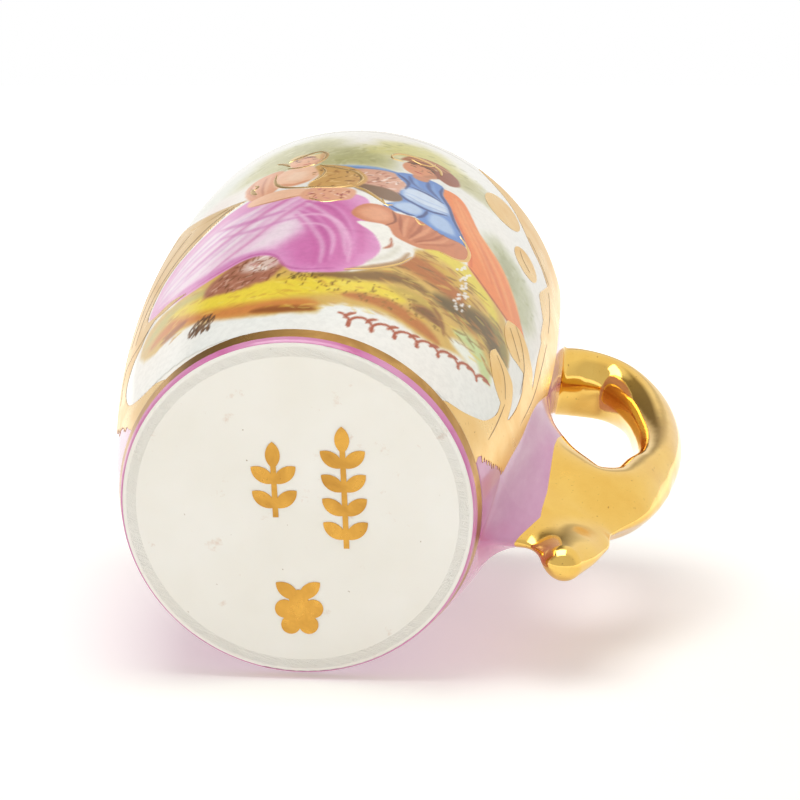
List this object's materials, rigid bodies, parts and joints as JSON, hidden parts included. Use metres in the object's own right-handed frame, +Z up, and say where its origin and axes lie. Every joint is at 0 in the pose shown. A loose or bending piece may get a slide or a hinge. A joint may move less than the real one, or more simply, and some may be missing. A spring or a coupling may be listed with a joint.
{
  "type": "shaving mug",
  "caption": "Tapered barrel-shaped porcelain shaving mug with a gilded loop handle, a pointed kick under it, and a painted picture panel in a gold frame.",
  "frame": {"origin": "centre of the foot, on the plane that the mug stands on", "axes": "+Z up along the mug's axis, +X towards the handle, -Y towards the front, where the picture is"},
  "size_m": [0.1032, 0.0798, 0.1],
  "materials": {
    "porcelain": "glossy clear glaze",
    "gilt_porcelain": "bright burnished gold over glaze",
    "slip": "fired slip",
    "pink_enamel": "glossy enamel",
    "lilac_lustre": "glossy lilac-pink lustre",
    "picture_enamel": "glossy painted enamels",
    "gold_film": "satin gold film"
  },
  "bodies": {
    "root": {"mug_body": "porcelain", "handle": "gilt_porcelain", "upper_slip_joint": "slip", "lower_slip_joint": "slip", "foot_line": "pink_enamel", "foot_band": "gold_film", "frame_gilding": "gold_film", "picture_transfer": "picture_enamel", "ground_colour": "lilac_lustre", "base_motifs": "gold_film"}
  },
  "joints": []
}
